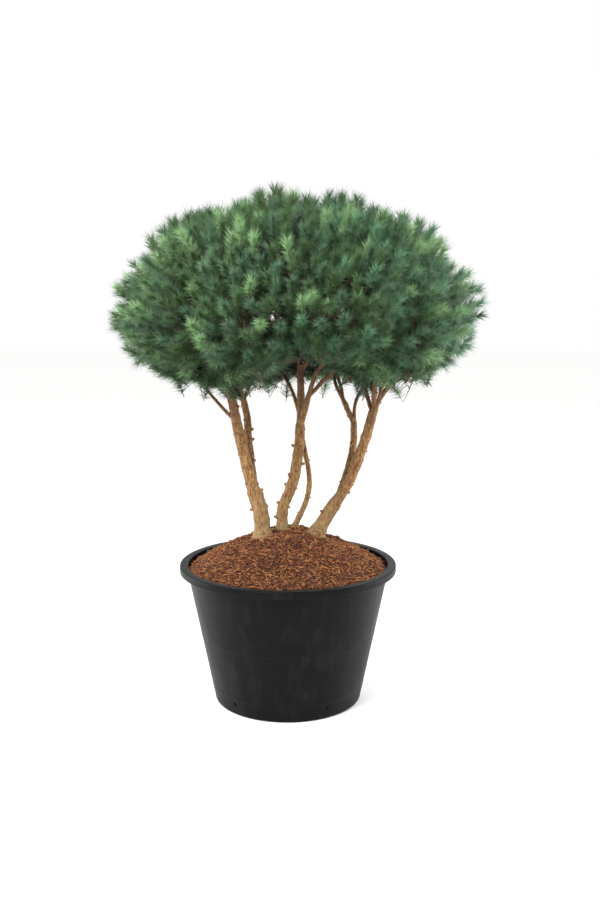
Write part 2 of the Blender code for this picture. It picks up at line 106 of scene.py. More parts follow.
# Crown outline
CROWN_X = 0.045
CROWN_RADIUS_X = 1.07
CROWN_RADIUS_Y = 1.04
CROWN_WIDEST = 2.17
CROWN_TOP = 2.885
CROWN_UNDERSIDE = 1.71
ROUND_ABOVE = 2.0
ROUND_BELOW = 3.0
ARCH_RISE = 0.24
ARCH_ANGLE = math.radians(282)
SAG_DROP = 0.07
SAG_ANGLE = math.radians(105)
HOLLOW_CENTRE = np.array((CROWN_X, 0.0, 1.74))
HOLLOW_RADII = np.array((0.36, 0.36, 0.20))

# Limbs
TAPER = 1.2
FLARE_HEIGHT = 0.075
FLARE_WIDTH = 0.36
TIP_DEPTH = 0.155

Ring = namedtuple("Ring", "name count distance height first")
Mass = namedtuple("Mass", "name centre")
Limb = namedtuple("Limb", "name parent leaves through mass tip_radius")
Layer = namedtuple("Layer", "level spacing shortest longest old")

RINGS = (
    Ring("top", 3, 0.22, 2.55, 0),
    Ring("shoulder", 6, 0.59, 2.41, 30),
    Ring("skirt", 10, 0.80, 2.07, 0),
)

# Layers of shoots from the outline inwards: level 1 is the outline; the inner layers hold more old shoots,
# whose dark needles are partly painted shade
LAYERS = (
    Layer(0.955, 0.078, 0.13, 0.19, 0.0),
    Layer(0.87, 0.102, 0.12, 0.17, 0.25),
    Layer(0.76, 0.115, 0.12, 0.17, 0.85),
    Layer(0.62, 0.135, 0.12, 0.17, 1.0),
    Layer(0.46, 0.135, 0.12, 0.17, 1.0),
    Layer(0.28, 0.15, 0.12, 0.17, 1.0),
)
# Old shoots inside the crown: fewer needles, wider so that few of them close the view
OLD_WIDENING = 1.0
OLD_SHED = 0.3
LOBE_DEPTH = 0.13
LOBE_WIDTH = 0.24
LOW_INSET = 0.07

LIMBS = (
    Limb("stem_left", None, 0, ((-0.137, -0.05, 0.905), (-0.157, -0.055, 1.056), (-0.209, -0.07, 1.227),
         (-0.284, -0.10, 1.54), (-0.344, -0.16, 1.796)), "skirt_7", 0.0135),
    Limb("stem_middle", None, 0, ((-0.032, 0.035, 0.918), (-0.030, 0.035, 1.05), (0.013, 0.03, 1.152),
         (0.044, 0.03, 1.266), (0.068, 0.03, 1.50), (0.062, 0.03, 1.905)), "top_2", 0.0075),
    Limb("stem_thin", None, 0, ((0.028, 0.078, 0.918), (0.074, 0.07, 1.012), (0.110, 0.07, 1.10),
         (0.121, 0.075, 1.22), (0.088, 0.10, 1.404), (0.030, 0.17, 1.68)), "skirt_4", 0.0062),
    Limb("stem_right", None, 0, ((0.159, -0.01, 0.915), (0.242, -0.02, 1.048), (0.349, -0.05, 1.224),
         (0.433, -0.07, 1.452), (0.485, -0.09, 1.63), (0.570, -0.085, 1.76)), "skirt_1", 0.0095),
    Limb("leader_left", "stem_left", 1.16, ((-0.203, -0.025, 1.26), (-0.226, 0.01, 1.45),
         (-0.255, 0.045, 1.66)), "shoulder_4", 0.0085),
    Limb("bough_left_side", "stem_left", 1.555, ((-0.399, -0.12, 1.676),), "skirt_6", 0.006),
    Limb("bough_left_front", "stem_left", 1.76, ((-0.29, -0.30, 1.88),), "skirt_8", 0.006),
    Limb("bough_left_back", "stem_left", 1.80, ((-0.43, 0.0, 1.90),), "skirt_5", 0.006),
    Limb("bough_left_fork", "leader_left", 1.66, ((-0.235, 0.10, 1.80),), "shoulder_3", 0.0065),
    Limb("bough_middle_right", "stem_middle", 1.51, ((0.110, -0.03, 1.672), (0.158, -0.08, 1.823),
         (0.223, -0.17, 1.93)), "skirt_9", 0.0065),
    Limb("bough_middle_side", "bough_middle_right", 1.69, ((0.190, -0.06, 1.775), (0.25, -0.14, 1.89)),
         "shoulder_5", 0.006),
    Limb("bough_middle_front", "stem_middle", 1.85, ((0.110, -0.03, 1.94),), "top_3", 0.006),
    Limb("bough_middle_crown", "stem_middle", 1.82, ((0.150, 0.03, 1.97),), "top_1", 0.0065),
    Limb("bough_right_inner", "stem_right", 1.60, ((0.443, 0.0, 1.714), (0.418, 0.06, 1.84)),
         "shoulder_1", 0.0065),
    Limb("bough_right_upright", "stem_right", 1.63, ((0.484, -0.13, 1.76),), "shoulder_6", 0.0085),
    Limb("bough_right_front", "stem_right", 1.66, ((0.545, -0.14, 1.80),), "skirt_10", 0.006),
    Limb("stem_back", "stem_right", 1.10, ((0.335, 0.035, 1.245), (0.374, 0.07, 1.40), (0.381, 0.11, 1.53),
         (0.410, 0.17, 1.68)), "skirt_2", 0.0062),
    Limb("bough_back_left", "stem_back", 1.52, ((0.325, 0.14, 1.64), (0.27, 0.21, 1.77)), "skirt_3", 0.006),
    Limb("bough_back_inner", "bough_back_left", 1.65, ((0.285, 0.20, 1.79),), "shoulder_2", 0.0055),
)


class PineContainerSettings(bpy.types.PropertyGroup):
    """Sizes and colour of the container."""
    sides: IntProperty(name="Sides", description="Faces round the turned wall", default=128, min=24)
    colour: StringProperty(name="Plastic", description="sRGB hex of the plastic", default="0A0B0B")
    dust: StringProperty(name="Dust", description="sRGB hex of the dried dust", default="34372F")


class PineBarkSettings(bpy.types.PropertyGroup):
    """Sizes of the stems' bark."""
    step: FloatProperty(name="Ring step", description="Distance between rings", default=0.012,
                        unit="LENGTH")
    sides: IntProperty(name="Sides", description="Faces round a stem", default=24, min=8)
    relief: FloatProperty(name="Relief", description="Depth of the bark's plates", default=0.0022,
                          unit="LENGTH")
    tan: StringProperty(name="Tan", description="sRGB hex of fresh flaking bark", default="8D6B3E")
    rust: StringProperty(name="Rust", description="sRGB hex of orange bark", default="6F4524")
    dark: StringProperty(name="Dark", description="sRGB hex of fissures and knots", default="281710")
    lichen: StringProperty(name="Lichen", description="sRGB hex of grey lichen", default="837B58")


class PineHeapSettings(bpy.types.PropertyGroup):
    """Sizes and colours of the shredded bark."""
    density: FloatProperty(name="Shreds", description="Shreds on a square metre", default=6200)
    length: FloatProperty(name="Length", description="Length of a shred", default=0.030, unit="LENGTH")
    lumps: FloatProperty(name="Lumps", description="Height of the heap's lumps", default=0.012,
                         unit="LENGTH")


class PineNeedleSettings(bpy.types.PropertyGroup):
    """Sizes of twigs and needles."""
    needles: IntProperty(name="Needles", description="Needles on a long shoot", default=185, min=20)
    length: FloatProperty(name="Length", description="Length of a needle", default=0.070, unit="LENGTH")
    width: FloatProperty(name="Width", description="Width of a needle at its foot", default=0.0032,
                         unit="LENGTH")
    branches: IntProperty(name="Branches", description="Branches in one mass", default=8, min=2)


class PineStageSettings(bpy.types.PropertyGroup):
    """Floor, light and camera."""
    floor: StringProperty(name="Floor", description="sRGB hex of the floor", default="FCFCFB")
    distance: FloatProperty(name="Camera distance", description="Camera to the pot's axis", default=6.1,
                            unit="LENGTH")
    height: FloatProperty(name="Camera height", description="Camera above the floor", default=2.338,
                          unit="LENGTH")
    lens: FloatProperty(name="Lens", description="Focal length", default=43, unit="CAMERA")


def rgb(code):
    """Linear RGBA of an sRGB hex code."""
    parts = [int(code[i:i + 2], 16) / 255 for i in (0, 2, 4)]
    return (*[c / 12.92 if c <= 0.04045 else ((c + 0.055) / 1.055) ** 2.4 for c in parts], 1)


def add(tree, kind, inputs=None, stops=(), **settings):
    """A node with its settings; inputs are values or sockets, stops are places and hex codes."""
    made = tree.nodes.new(kind)
    for key, value in settings.items():
        setattr(made, key, value)
    for key, value in (inputs or {}).items():
        if isinstance(value, bpy.types.NodeSocket):
            tree.links.new(value, made.inputs[key])
        else:
            made.inputs[key].default_value = value
    for index, (place, code) in enumerate(stops):
        if index == len(made.color_ramp.elements):
            made.color_ramp.elements.new(place)
        made.color_ramp.elements[index].position = place
        made.color_ramp.elements[index].color = rgb(code)
    return made


def blank_material(name, roughness, colour=None):
    """A Principled material, its tree and its shader."""
    made = bpy.data.materials.new(name)
    made.use_nodes = True
    shader = made.node_tree.nodes["Principled BSDF"]
    shader.inputs["Roughness"].default_value = roughness
    if colour:
        shader.inputs["Base Color"].default_value = rgb(colour)
    return made, made.node_tree, shader


def polypropylene(colour, dust):
    """Black injection-moulded polypropylene: satin, faintly rippled, with dried dust and long scuffs."""
    made, tree, shader = blank_material("black polypropylene", 0.42)
    shader.inputs["Specular IOR Level"].default_value = 0.08
    place = add(tree, "ShaderNodeTexCoord").outputs["Object"]
    streaks = add(tree, "ShaderNodeMapping", {"Vector": place, "Scale": (9, 9, 1.1)})
    fine_streaks = add(tree, "ShaderNodeMapping", {"Vector": place, "Scale": (1, 1, 14)})
    cloud = add(tree, "ShaderNodeTexNoise", {"Vector": place, "Scale": 5.5, "Detail": 6.0,
                                             "Roughness": 0.62})
    run = add(tree, "ShaderNodeTexNoise", {"Vector": streaks.outputs[0], "Scale": 2.2, "Detail": 5.0})
    both = add(tree, "ShaderNodeMath", {0: cloud.outputs["Fac"], 1: run.outputs["Fac"]},
               operation="MULTIPLY")
    cover = add(tree, "ShaderNodeMapRange", {"Value": both.outputs[0], "From Min": 0.25, "From Max": 0.46,
                                             "To Max": 0.24})
    dusty = add(tree, "ShaderNodeMix", {0: cover.outputs[0], 6: rgb(colour), 7: rgb(dust)},
                data_type="RGBA")
    tree.links.new(dusty.outputs[2], shader.inputs["Base Color"])
    rough = add(tree, "ShaderNodeMapRange", {"Value": run.outputs["Fac"], "To Min": 0.33, "To Max": 0.56})
    tree.links.new(rough.outputs[0], shader.inputs["Roughness"])
    # Mould ripples of about 4 mm and a few scratches a millimetre wide
    grain = add(tree, "ShaderNodeTexNoise", {"Vector": place, "Scale": 240.0, "Detail": 2.0})
    scratch = add(tree, "ShaderNodeTexNoise", {"Vector": fine_streaks.outputs[0], "Scale": 26.0,
                                               "Detail": 3.0})
    height = add(tree, "ShaderNodeMath", {0: grain.outputs["Fac"], 1: scratch.outputs["Fac"]},
                 operation="ADD")
    bump = add(tree, "ShaderNodeBump", {"Height": height.outputs[0], "Strength": 0.12, "Distance": 0.001})
    tree.links.new(bump.outputs[0], shader.inputs["Normal"])
    return made


def pine_bark(settings):
    """Young pine bark: orange-tan sheets that flake off darker wood, grey lichen low on the stems."""
    made, tree, shader = blank_material("flaking pine bark", 0.82)
    place = add(tree, "ShaderNodeTexCoord").outputs["Object"]
    plates = add(tree, "ShaderNodeMapping", {"Vector": place, "Scale": (1, 1, 0.38)}).outputs[0]
    # Plates 10 to 25 mm across
    flake = add(tree, "ShaderNodeTexNoise", {"Vector": plates, "Scale": 88.0, "Detail": 8.0,
                                             "Roughness": 0.7, "Distortion": 0.4})
    skin = add(tree, "ShaderNodeValToRGB", {"Fac": flake.outputs["Fac"]},
               stops=((0.33, settings.dark), (0.44, settings.rust), (0.56, settings.tan), (0.74, "B8945E")))
    patch = add(tree, "ShaderNodeTexNoise", {"Vector": place, "Scale": 24.0, "Detail": 7.0,
                                             "Roughness": 0.7})
    low = add(tree, "ShaderNodeSeparateXYZ", {"Vector": place})
    foot = add(tree, "ShaderNodeMapRange", {"Value": low.outputs["Z"], "From Min": 0.95, "From Max": 1.45,
                                            "To Min": 0.16, "To Max": -0.12})
    cover = add(tree, "ShaderNodeMath", {0: patch.outputs["Fac"], 1: foot.outputs[0]}, operation="ADD")
    grey = add(tree, "ShaderNodeMapRange", {"Value": cover.outputs[0], "From Min": 0.52, "From Max": 0.80,
                                            "To Max": 0.6})
    grown = add(tree, "ShaderNodeMix", {0: grey.outputs[0], 6: skin.outputs["Color"],
                                        7: rgb(settings.lichen)}, data_type="RGBA")
    # Darker red-brown from 1.45 m up, under the crown: partly the boughs' own redder bark, partly painted
    # shade of the crown
    high = add(tree, "ShaderNodeMapRange", {"Value": low.outputs["Z"], "From Min": 1.45, "From Max": 1.8,
                                            "To Max": 0.72})
    red_bark_and_painted_shade = add(tree, "ShaderNodeMix", {0: high.outputs[0], 6: grown.outputs[2], 7: rgb("3C2215")},
                 data_type="RGBA")
    tree.links.new(red_bark_and_painted_shade.outputs[2], shader.inputs["Base Color"])
    crack = add(tree, "ShaderNodeTexVoronoi", {"Vector": plates, "Scale": 70.0}, feature="DISTANCE_TO_EDGE")
    height = add(tree, "ShaderNodeMath", {0: flake.outputs["Fac"], 1: crack.outputs["Distance"]},
                 operation="ADD")
    bump = add(tree, "ShaderNodeBump", {"Height": height.outputs[0], "Strength": 0.7, "Distance": 0.003})
    tree.links.new(bump.outputs[0], shader.inputs["Normal"])
    return made


def fibre(name, dark, light):
    """Moist shredded bark: matt, with fibres a millimetre or two wide."""
    made, tree, shader = blank_material(name, 0.9)
    place = add(tree, "ShaderNodeTexCoord").outputs["Object"]
    grain = add(tree, "ShaderNodeTexNoise", {"Vector": place, "Scale": 95.0, "Detail": 4.0})
    tone = add(tree, "ShaderNodeValToRGB", {"Fac": grain.outputs["Fac"]},
               stops=((0.34, dark), (0.66, light)))
    tree.links.new(tone.outputs["Color"], shader.inputs["Base Color"])
    bump = add(tree, "ShaderNodeBump", {"Height": grain.outputs["Fac"], "Strength": 0.6, "Distance": 0.002})
    tree.links.new(bump.outputs[0], shader.inputs["Normal"])
    return made


def mesh_from_arrays(name, points, faces, materials, indices=None, smooth=False):
    """An object at the origin from arrays of points and triangles or quads."""
    mesh = bpy.data.meshes.new(name)
    corners = faces.shape[1]
    mesh.vertices.add(len(points))
    mesh.vertices.foreach_set("co", np.ascontiguousarray(points, dtype=np.float32).ravel())
    mesh.loops.add(faces.size)
    mesh.loops.foreach_set("vertex_index", np.ascontiguousarray(faces, dtype=np.int32).ravel())
    mesh.polygons.add(len(faces))
    mesh.polygons.foreach_set("loop_start", np.arange(0, faces.size, corners, dtype=np.int32))
    for surface in materials:
        mesh.materials.append(surface)
    if indices is not None:
        mesh.polygons.foreach_set("material_index", np.ascontiguousarray(indices, dtype=np.int32))
    mesh.update(calc_edges=True)
    if smooth:
        mesh.shade_smooth()
    made = bpy.data.objects.new(name, mesh)
    bpy.context.scene.collection.objects.link(made)
    return made


def mesh_from_bmesh(name, bm, surface):
    """An object at the origin from a bmesh."""
    mesh = bpy.data.meshes.new(name)
    bm.to_mesh(mesh)
    bm.free()
    mesh.materials.append(surface)
    made = bpy.data.objects.new(name, mesh)
    bpy.context.scene.collection.objects.link(made)
    return made


def applied(made):
    """The object with its modifiers made real."""
    bpy.context.view_layer.update()
    graph = bpy.context.evaluated_depsgraph_get()
    mesh = bpy.data.meshes.new_from_object(made.evaluated_get(graph))
    made.modifiers.clear()
    made.data = mesh
    return made


def wall_radius(height):
    """Outer radius of the pot's tapering wall."""
    share = height / (POT_HEIGHT - RIM_SKIRT)
    return WALL_FOOT_RADIUS + (WALL_TOP_RADIUS - WALL_FOOT_RADIUS) * share


def arc(centre_r, centre_z, radius, start, end, count):
    """Points of a rounded corner in a turned profile, from angle start to angle end in degrees."""
    for i in range(count + 1):
        turn = math.radians(start + (end - start) * i / count)
        yield centre_r + radius * math.cos(turn), centre_z + radius * math.sin(turn)


def pot_profile():
    """The container's section: inside floor, inside wall, rolled rim, skirt, seamed wall and foot."""
    lip = RIM_RADIUS - RIM_WIDTH
    under = POT_HEIGHT - RIM_SKIRT
    profile = [(0, FLOOR), (wall_radius(FLOOR) - WALL, FLOOR), (wall_radius(under) - WALL, under)]
    profile += arc(lip + RIM_ROUND, POT_HEIGHT - RIM_ROUND, RIM_ROUND, 180, 90, 5)
    profile += arc(RIM_RADIUS - RIM_ROUND, POT_HEIGHT - RIM_ROUND, RIM_ROUND, 90, 0, 5)
    profile += arc(RIM_RADIUS - RIM_ROUND / 2, under + RIM_ROUND / 2, RIM_ROUND / 2, 0, -90, 3)
    profile += [(wall_radius(under) + WALL, under), (wall_radius(under - WALL), under - WALL)]
    for seam in reversed(SEAM_HEIGHTS):
        for offset, proud in ((3, 0), (1, 0), (0.4, 1), (-0.4, 1), (-1, 0), (-3, 0)):
            height = seam + offset * SEAM_HALF
            profile.append((wall_radius(height) + proud * SEAM_PROUD, height))
    profile += arc(wall_radius(FOOT_ROUND) - FOOT_ROUND, FOOT_ROUND, FOOT_ROUND, 0, -90, 6)
    return profile + [(0, 0)]


class PINE_OT_container(bpy.types.Operator):
    """Make the turned container with its seams and drain holes"""
    bl_idname = "pine.container"
    bl_label = "Container"

    def execute(self, context):
        settings = context.scene.pine_container
        bm = bmesh.new()
        points = [bm.verts.new((radius, 0, height)) for radius, height in pot_profile()]
        for first, second in zip(points, points[1:]):
            bm.edges.new((first, second))
        pot = mesh_from_bmesh("container", bm, polypropylene(settings.colour, settings.dust))
        screw = pot.modifiers.new("Turn", "SCREW")
        screw.steps = screw.render_steps = settings.sides
        screw.use_merge_vertices = True
        screw.merge_threshold = 0.0001
        applied(pot)
        bm = bmesh.new()
        for i in range(DRAIN_COUNT):
            turn = DRAIN_FIRST + 2 * math.pi * i / DRAIN_COUNT
            spot = Matrix.Translation((wall_radius(DRAIN_HEIGHT) - WALL / 2, 0, DRAIN_HEIGHT))
            place = Matrix.Rotation(turn, 4, "Z") @ spot @ Matrix.Rotation(math.pi / 2, 4, "Y")
            bmesh.ops.create_cone(bm, cap_ends=True, segments=20, radius1=DRAIN_RADIUS,
                                  radius2=DRAIN_RADIUS, depth=6 * WALL, matrix=place)
        holes = mesh_from_bmesh("holes", bm, pot.data.materials[0])
        cut = pot.modifiers.new("Drain", "BOOLEAN")
        cut.object = holes
        cut.operation = "DIFFERENCE"
        cut.solver = "EXACT"
        applied(pot)
        bpy.data.objects.remove(holes)
        pot.data.shade_smooth()
        pot.data.set_sharp_from_angle(angle=math.radians(38))
        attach(pot, "root")
        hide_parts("pot")
        return {"FINISHED"}


def heap_height(share):
    """Height of the heap at a share of its radius."""
    for (outer, low), (inner, high) in zip(HEAP_PROFILE, HEAP_PROFILE[1:]):
        if inner <= share <= outer:
            part = (outer - share) / (outer - inner)
            part = part * part * (3 - 2 * part) * 0.35 + part * 0.65
            return FILL_EDGE + (HEAP_TOP - FILL_EDGE) * (low + (high - low) * part)
    return FILL_EDGE


def heap_surface(lumps, rings=46, sides=150, reach=1.0):
    """The heap's top out to a share of its radius as a bmesh, and its outer ring of vertices."""
    edge = wall_radius(FILL_EDGE) - WALL - 0.0006
    bm = bmesh.new()
    centre = bm.verts.new((0, 0, HEAP_TOP))
    last = [centre] * sides
    for ring in range(1, rings + 1):
        share = reach * ring / rings
        row = []
        for side in range(sides):
            turn = 2 * math.pi * side / sides
            x, y = edge * share * math.cos(turn), edge * share * math.sin(turn)
            rough = noise.noise(Vector((x, y, 0)) * 9) + 0.55 * noise.noise(Vector((x, y, 5)) * 34)
            z = heap_height(share) + lumps * rough * min(1, 6 * (1 - share))
            row.append(bm.verts.new((x, y, z)))
        for side in range(sides):
            after = (side + 1) % sides
            if ring == 1:
                bm.faces.new((centre, row[side], row[after]))
            else:
                bm.faces.new((last[side], row[side], row[after], last[after]))
        last = row
    return bm, last


def shred_kinds(count=6):
    """Splinters of bark: three-sided, bent, pointed at both ends and one unit long."""
    rng = np.random.default_rng(SEED + 3)
    kinds = bpy.data.collections.new("shred kinds")
    for kind in range(count):
        bm = bmesh.new()
        width = rng.uniform(0.08, 0.2)
        middle = Vector((rng.uniform(-0.2, 0.2), rng.uniform(-0.16, 0.16), 0.06))
        ends = [bm.verts.new((-0.5, 0, 0)), bm.verts.new((0.5, 0, 0.02 * rng.normal()))]
        ring = [bm.verts.new(middle + Vector((0, y * width, z * width)))
                for y, z in ((-0.6, 0), (0.6, 0.1), (0.1, 0.6))]
        for end in ends:
            for i in range(3):
                bm.faces.new((end, ring[i], ring[(i + 1) % 3]))
        bmesh.ops.recalc_face_normals(bm, faces=bm.faces)
        mesh = bpy.data.meshes.new(f"shred {kind}")
        bm.to_mesh(mesh)
        bm.free()
        kinds.objects.link(bpy.data.objects.new(f"shred {kind}", mesh))
    return kinds


def shred_tree(kinds):
    """A Geometry Nodes tree that strews shreds over a surface."""
    tree = bpy.data.node_groups.new("strewn shreds", "GeometryNodeTree")
    sockets = (("Geometry", "NodeSocketGeometry"), ("Density", "NodeSocketFloat"),
               ("Length", "NodeSocketFloat"), ("Seed", "NodeSocketInt"), ("Material", "NodeSocketMaterial"))
    for name, kind in sockets:
        tree.interface.new_socket(name, in_out="INPUT", socket_type=kind)
    tree.interface.new_socket("Geometry", in_out="OUTPUT", socket_type="NodeSocketGeometry")
    entry = add(tree, "NodeGroupInput").outputs
    points = add(tree, "GeometryNodeDistributePointsOnFaces",
                 {"Mesh": entry["Geometry"], "Density": entry["Density"], "Seed": entry["Seed"]})
    turn = add(tree, "FunctionNodeRandomValue", {0: (-0.5, -0.5, 0), 1: (0.5, 0.5, 2 * math.pi),
                                                 "Seed": entry["Seed"]}, data_type="FLOAT_VECTOR")
    size = add(tree, "FunctionNodeRandomValue", {2: 0.35, 3: 1.5, "Seed": entry["Seed"]}, data_type="FLOAT")
    scale = add(tree, "ShaderNodeMath", {0: size.outputs[1], 1: entry["Length"]}, operation="MULTIPLY")
    pick = add(tree, "GeometryNodeCollectionInfo", {"Collection": kinds, "Separate Children": True,
                                                    "Reset Children": True})
    placed = add(tree, "GeometryNodeInstanceOnPoints",
                 {"Points": points.outputs["Points"], "Instance": pick.outputs[0], "Pick Instance": True,
                  "Rotation": turn.outputs[0], "Scale": scale.outputs[0]})
    real = add(tree, "GeometryNodeRealizeInstances", {"Geometry": placed.outputs[0]})
    coloured = add(tree, "GeometryNodeSetMaterial", {"Geometry": real.outputs[0],
                                                     "Material": entry["Material"]})
    add(tree, "NodeGroupOutput", {"Geometry": coloured.outputs[0]})
    return tree


class PINE_OT_heap(bpy.types.Operator):
    """Make the heap of shredded bark that fills the container"""
    bl_idname = "pine.heap"
    bl_label = "Bark heap"

    def execute(self, context):
        settings = context.scene.pine_heap
        bm, edge = heap_surface(settings.lumps)
        floor = FLOOR + 0.0006
        foot = wall_radius(floor) - WALL - 0.0006
        low = [bm.verts.new((v.co.x * foot / math.hypot(v.co.x, v.co.y),
                             v.co.y * foot / math.hypot(v.co.x, v.co.y), floor)) for v in edge]
        for i, vertex in enumerate(edge):
            j = (i + 1) % len(edge)
            bm.faces.new((vertex, low[i], low[j], edge[j]))
        bm.faces.new(reversed(low))
        heap = mesh_from_bmesh("bark_heap", bm, fibre("bark fines", "241108", "5C3219"))
        # Painted shade: the heap's sides and foot below the fill edge get near-black bark, standing in for
        # the shade inside the pot
        heap.data.materials.append(fibre("wet bark against the wall", "080503", "1C100A"))
        for face in heap.data.polygons:
            face.material_index = int(face.center.z < FILL_EDGE - 0.02)
        heap.data.shade_smooth()
        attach(heap, "root")
        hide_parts("substrate")
        return {"FINISHED"}


class PINE_OT_shreds(bpy.types.Operator):
    """Strew shreds of bark in four colours over the heap"""
    bl_idname = "pine.shreds"
    bl_label = "Bark shreds"

    def execute(self, context):
        settings = context.scene.pine_heap
        kinds = shred_kinds()
        tree = shred_tree(kinds)
        identifiers = {item.name: item.identifier for item in tree.interface.items_tree
                       if item.in_out == "INPUT"}
        # Name, share of the shreds, length against the usual, dark and light colour
        mixes = (("umber", 1.1, 1.0, "2C140A", "5A2D17"), ("russet", 1.2, 0.9, "5C2D14", "844724"),
                 ("fawn", 0.5, 0.85, "7C5230", "AC8252"), ("fibres", 0.4, 1.6, "6A3C20", "9C6638"))
        for seed, (name, share, length, dark, light) in enumerate(mixes):
            bm, _ = heap_surface(settings.lumps, rings=30, sides=90, reach=0.975)
            bmesh.ops.translate(bm, verts=bm.verts, vec=(0, 0, 0.003))
            shreds = mesh_from_bmesh(f"shreds_{name}", bm, None)
            strew = shreds.modifiers.new("Strew", "NODES")
            strew.node_group = tree
            strew[identifiers["Density"]] = settings.density * share
            strew[identifiers["Length"]] = settings.length * length
            strew[identifiers["Seed"]] = SEED + seed
            strew[identifiers["Material"]] = fibre(f"bark {name}", dark, light)
            applied(shreds)
            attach(shreds, "root")
        for item in list(kinds.objects):
            bpy.data.objects.remove(item)
        bpy.data.collections.remove(kinds)
        return {"FINISHED"}


def underside(angle):
    """Height of the crown's lower edge: it arches up at the front and sags at the back."""
    arch = np.maximum(0, np.cos(angle - ARCH_ANGLE)) ** 6
    sag = np.maximum(0, np.cos(angle - SAG_ANGLE)) ** 4
    return CROWN_UNDERSIDE + ARCH_RISE * arch - SAG_DROP * sag


def fullness(points):
    """1 on the crown's outline, less inside it, for an array of points."""
    x = points[:, 0] - CROWN_X
    across = np.hypot(x / CROWN_RADIUS_X, points[:, 1] / CROWN_RADIUS_Y)
    rise = points[:, 2] - CROWN_WIDEST
    above = rise > 0
    power = np.where(above, ROUND_ABOVE, ROUND_BELOW)
    limit = np.where(above, CROWN_TOP, underside(np.arctan2(points[:, 1], x)))
    along = np.abs(rise) / np.abs(limit - CROWN_WIDEST)
    return (across ** power + along ** power) ** (1 / power)


def outline_normals(points):
    """The way out of the crown at each point."""
    step = 0.01
    here = fullness(points)
    slope = np.stack([fullness(points + step * np.eye(3)[i]) - here for i in range(3)], axis=1)
    return slope / np.linalg.norm(slope, axis=1, keepdims=True)


def place_masses():
    """The masses' centres, in rings round the crown's axis."""
    masses = []
    for ring in RINGS:
        for i in range(ring.count):
            turn = math.radians(ring.first) + 2 * math.pi * i / ring.count
            lift = float(underside(turn) - CROWN_UNDERSIDE) * 0.6 if ring.name == "skirt" else 0
            masses.append(Mass(f"{ring.name}_{i + 1}", Vector(
                (CROWN_X + ring.distance * math.cos(turn), ring.distance * math.sin(turn),
                 ring.height + lift))))
    return masses


def smooth_path(stations, step):
    """Points at even steps on a smooth curve through the stations."""
    stations = [Vector(p) for p in stations]
    ends = [stations[0] * 2 - stations[1]] + stations + [stations[-1] * 2 - stations[-2]]
    dense = []
    for a, b, c, d in zip(ends, ends[1:], ends[2:], ends[3:]):
        for i in range(12):
            t = i / 12
            dense.append(0.5 * (2 * b + (c - a) * t + (2 * a - 5 * b + 4 * c - d) * t ** 2
                                + (3 * b - a - 3 * c + d) * t ** 3))
    dense.append(stations[-1])
    lengths = [0.0]
    for first, second in zip(dense, dense[1:]):
        lengths.append(lengths[-1] + (second - first).length)
    count = max(2, round(lengths[-1] / step))
    path, at = [], 0
    for i in range(count + 1):
        target = lengths[-1] * i / count
        while at < len(dense) - 2 and lengths[at + 1] < target:
            at += 1
        share = (target - lengths[at]) / (lengths[at + 1] - lengths[at])
        path.append(dense[at].lerp(dense[at + 1], min(1, share)))
    return path


def at_height(path, height):
    """The place on a path where it passes a height."""
    for first, second in zip(path, path[1:]):
        if first.z <= height <= second.z:
            return first.lerp(second, (height - first.z) / (second.z - first.z))
    return path[-1]


def grow_limbs(masses, step):
    """Each limb's path and radii, as {name: (path, radii)}."""
    centres = {mass.name: mass.centre for mass in masses}
    paths = {}
    for limb in LIMBS:
        stations = list(limb.through)
        if limb.parent:
            stations.insert(0, at_height(paths[limb.parent], limb.leaves))
        centre = centres[limb.mass]
        stations.append(centre + (Vector(stations[-1]) - centre).normalized() * TIP_DEPTH)
        paths[limb.name] = smooth_path(stations, step)
    roots = {limb.name: [] for limb in LIMBS}
    grown = {}
    for limb in reversed(LIMBS):
        path = paths[limb.name]
        left = [0.0]
        for first, second in zip(reversed(path), list(reversed(path))[1:]):
            left.append(left[-1] + (first - second).length)
        radii = []
        for point, to_tip in zip(path, reversed(left)):
            area = (limb.tip_radius * (1 + TAPER * to_tip)) ** 2
            for height, radius in roots[limb.name]:
                # A fork's share fades over a few centimetres
                area += radius ** 2 * min(1, max(0, (height - point.z) / 0.05 + 0.5))
            rise = point.z - path[0].z
            flare = 1
            if not limb.parent and rise < FLARE_HEIGHT:
                flare += FLARE_WIDTH * (1 - rise / FLARE_HEIGHT) ** 2
            radii.append(math.sqrt(area) * flare)
        if limb.parent:
            roots[limb.parent].append((limb.leaves, radii[0]))
        grown[limb.name] = (path, radii)
    return grown


def tube_frames(path):
    """Two side vectors at each point of a path, with no twist between them."""
    side = None
    for i, point in enumerate(path):
        ahead = (path[min(i + 1, len(path) - 1)] - path[max(i - 1, 0)]).normalized()
        if side is None:
            side = ahead.orthogonal().normalized()
        side = (side - ahead * side.dot(ahead)).normalized()
        yield side, ahead.cross(side)


def add_tube(bm, path, radii, sides, shape=None):
    """A closed tube in a bmesh; shape(point, outward, index, angle) moves its surface out or in."""
    last = None
    for i, (point, radius, (side, cross)) in enumerate(zip(path, radii, tube_frames(path))):
        row = []
        for k in range(sides):
            angle = 2 * math.pi * k / sides
            outward = side * math.cos(angle) + cross * math.sin(angle)
            place = point + outward * radius
            if shape:
                place += outward * shape(place, i, angle)
            row.append(bm.verts.new(place))
        if last:
            for k in range(sides):
                j = (k + 1) % sides
                bm.faces.new((last[k], last[j], row[j], row[k]))
        else:
            bm.faces.new(reversed(row))
        last = row
    bm.faces.new(last)


